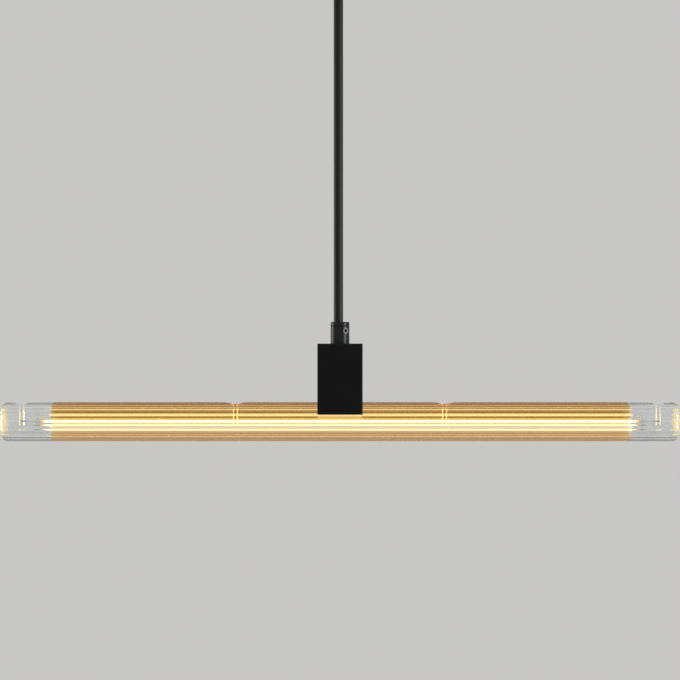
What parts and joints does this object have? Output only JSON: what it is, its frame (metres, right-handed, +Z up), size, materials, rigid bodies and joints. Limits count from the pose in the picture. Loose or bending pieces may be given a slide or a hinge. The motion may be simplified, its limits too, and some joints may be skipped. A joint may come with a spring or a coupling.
{
  "type": "led linear tube lamp",
  "caption": "Pendant lamp: a ribbed clear glass tube with a long LED filament, plugged at its middle into a square black lampholder on a taut cable and ceiling rose.",
  "frame": {"origin": "centre of the ceiling rose's face against the ceiling, where the lamp is held up", "axes": "+X along the glass tube, -Y towards the lamp's front, where the set screws' side shows, +Z up"},
  "size_m": [0.5, 0.08, 0.3717],
  "materials": {
    "tube_glass": "clear ribbed glass, warm where the filament is lit",
    "filament_phosphor": "lit yellow phosphor coating",
    "nickel_wire": "bright drawn wire",
    "contact_brass": "satin",
    "cap_plastic": "black heat-resistant moulding",
    "board_green": "circuit board with solder resist",
    "capacitor_sleeve": "shrunk sleeve",
    "chip_black": "moulded chips",
    "socket_ceramic": "unglazed steatite",
    "cover_plastic": "moulded",
    "housing_black": "black satin powder coat",
    "grip_black": "dark satin turned metal",
    "zinc_steel": "zinc plated",
    "cable_black": "black sheath",
    "core_brown": "insulation",
    "core_blue": "insulation",
    "block_white": "moulded"
  },
  "bodies": {
    "root": {"glass_tube": "tube_glass", "led_filament": "filament_phosphor", "filament_ferrule_left": "nickel_wire", "filament_ferrule_right": "nickel_wire", "filament_end_wire_left": "nickel_wire", "filament_end_wire_right": "nickel_wire", "filament_hook_left": "nickel_wire", "filament_hook_right": "nickel_wire", "feed_wire_left": "nickel_wire", "feed_wire_right": "nickel_wire", "cap_base": "cap_plastic", "cap_contact_front": "contact_brass", "cap_contact_back": "contact_brass", "driver_board": "board_green", "driver_capacitor": "capacitor_sleeve", "driver_chips": "chip_black", "holder_housing": "housing_black", "socket_body": "socket_ceramic", "socket_spring_front": "contact_brass", "socket_spring_back": "contact_brass", "socket_terminal_front": "contact_brass", "socket_terminal_back": "contact_brass", "socket_terminal_screws": "zinc_steel", "socket_cover": "cover_plastic", "socket_cover_screws": "zinc_steel", "holder_nipple": "zinc_steel", "holder_washer": "zinc_steel", "holder_grip": "grip_black", "holder_grip_screw": "grip_black", "holder_core_line": "core_brown", "holder_core_neutral": "core_blue", "supply_cable": "cable_black", "rose_core_line": "core_brown", "rose_core_neutral": "core_blue", "rose_grip": "grip_black", "rose_grip_screw": "grip_black", "rose_nipple": "zinc_steel", "rose_washer": "zinc_steel", "rose_nut": "zinc_steel", "rose_cup": "housing_black", "rose_strap": "zinc_steel", "rose_side_screws": "zinc_steel", "rose_terminal_block": "block_white", "rose_pole_screws": "zinc_steel", "rose_block_screw": "zinc_steel"}
  },
  "joints": []
}
